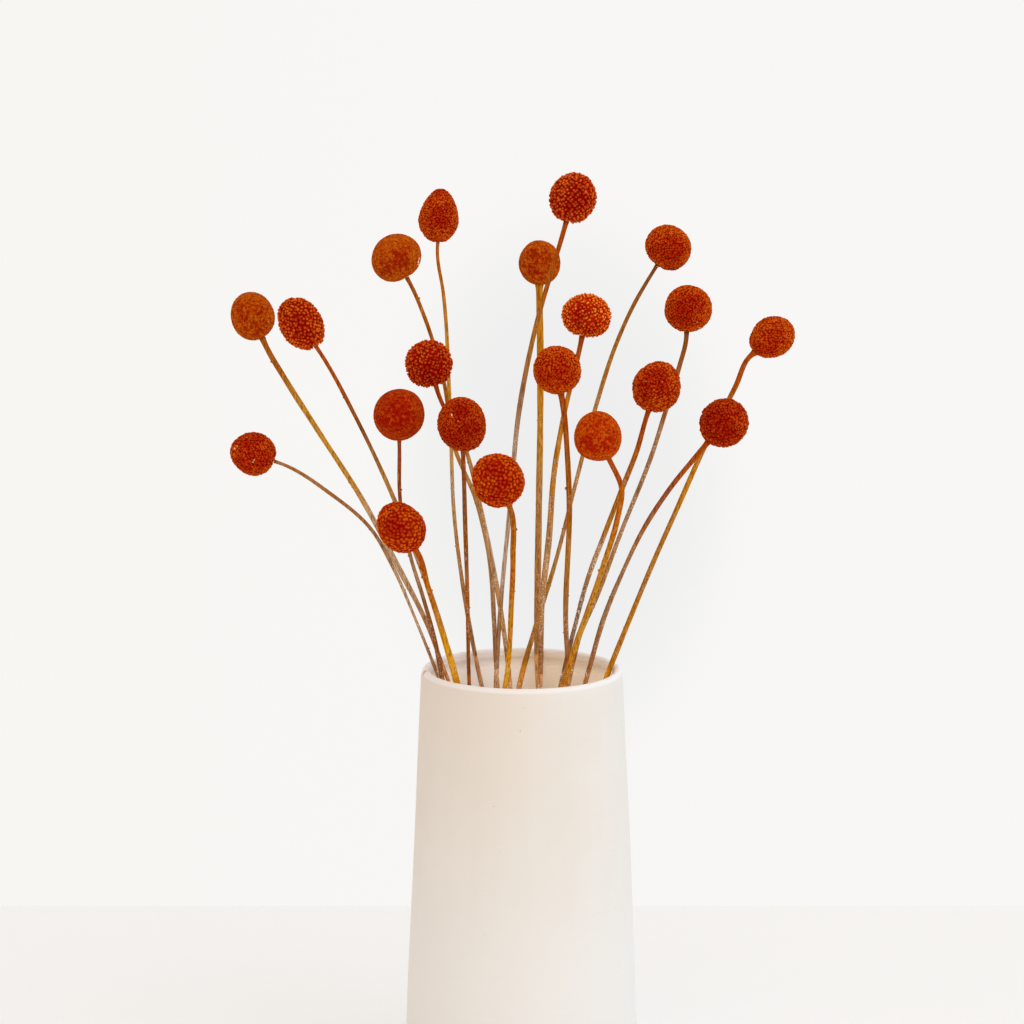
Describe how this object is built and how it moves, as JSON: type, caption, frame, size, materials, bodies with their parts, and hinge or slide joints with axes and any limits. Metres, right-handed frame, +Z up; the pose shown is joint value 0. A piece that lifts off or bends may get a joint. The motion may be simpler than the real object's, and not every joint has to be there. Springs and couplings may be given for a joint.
{
  "type": "dried billy button in vase",
  "caption": "Dried billy button stems with round rust-orange flower heads, gathered loosely in a tall matte off-white ceramic vase that widens downward.",
  "frame": {"origin": "middle of the vase's flat base, on the surface that it stands on", "axes": "+Z up along the vase's axis; the front, as the picture shows it, faces -Y; +X to the viewer's right"},
  "size_m": [0.3124, 0.2117, 0.5123],
  "materials": {
    "vase_ceramic": "matte",
    "floret_rust": "matte",
    "floret_orange": "matte",
    "floret_ochre": "matte",
    "stem_russet": "matte",
    "stem_gold": "matte",
    "stem_straw": "matte"
  },
  "bodies": {
    "root": {"vase": "vase_ceramic", "stem_01": "stem_russet", "head_01": "floret_rust", "stem_02": "stem_gold", "head_02": "floret_rust", "stem_03": "stem_gold", "head_03": "floret_ochre", "stem_04": "stem_gold", "head_04": "floret_ochre", "stem_05": "stem_straw", "head_05": "floret_rust", "stem_06": "stem_gold", "head_06": "floret_ochre", "stem_07": "stem_russet", "head_07": "floret_orange", "stem_08": "stem_straw", "head_08": "floret_orange", "stem_09": "stem_straw", "head_09": "floret_rust", "stem_10": "stem_gold", "head_10": "floret_rust", "stem_11": "stem_straw", "head_11": "floret_rust", "stem_12": "stem_russet", "head_12": "floret_rust", "stem_13": "stem_russet", "head_13": "floret_orange", "stem_14": "stem_russet", "head_14": "floret_rust", "stem_15": "stem_straw", "head_15": "floret_rust", "stem_16": "stem_gold", "head_16": "floret_orange", "stem_17": "stem_russet", "head_17": "floret_rust", "stem_18": "stem_russet", "head_18": "floret_rust", "stem_19": "stem_gold", "head_19": "floret_orange", "stem_20": "stem_gold", "head_20": "floret_orange"}
  },
  "joints": []
}
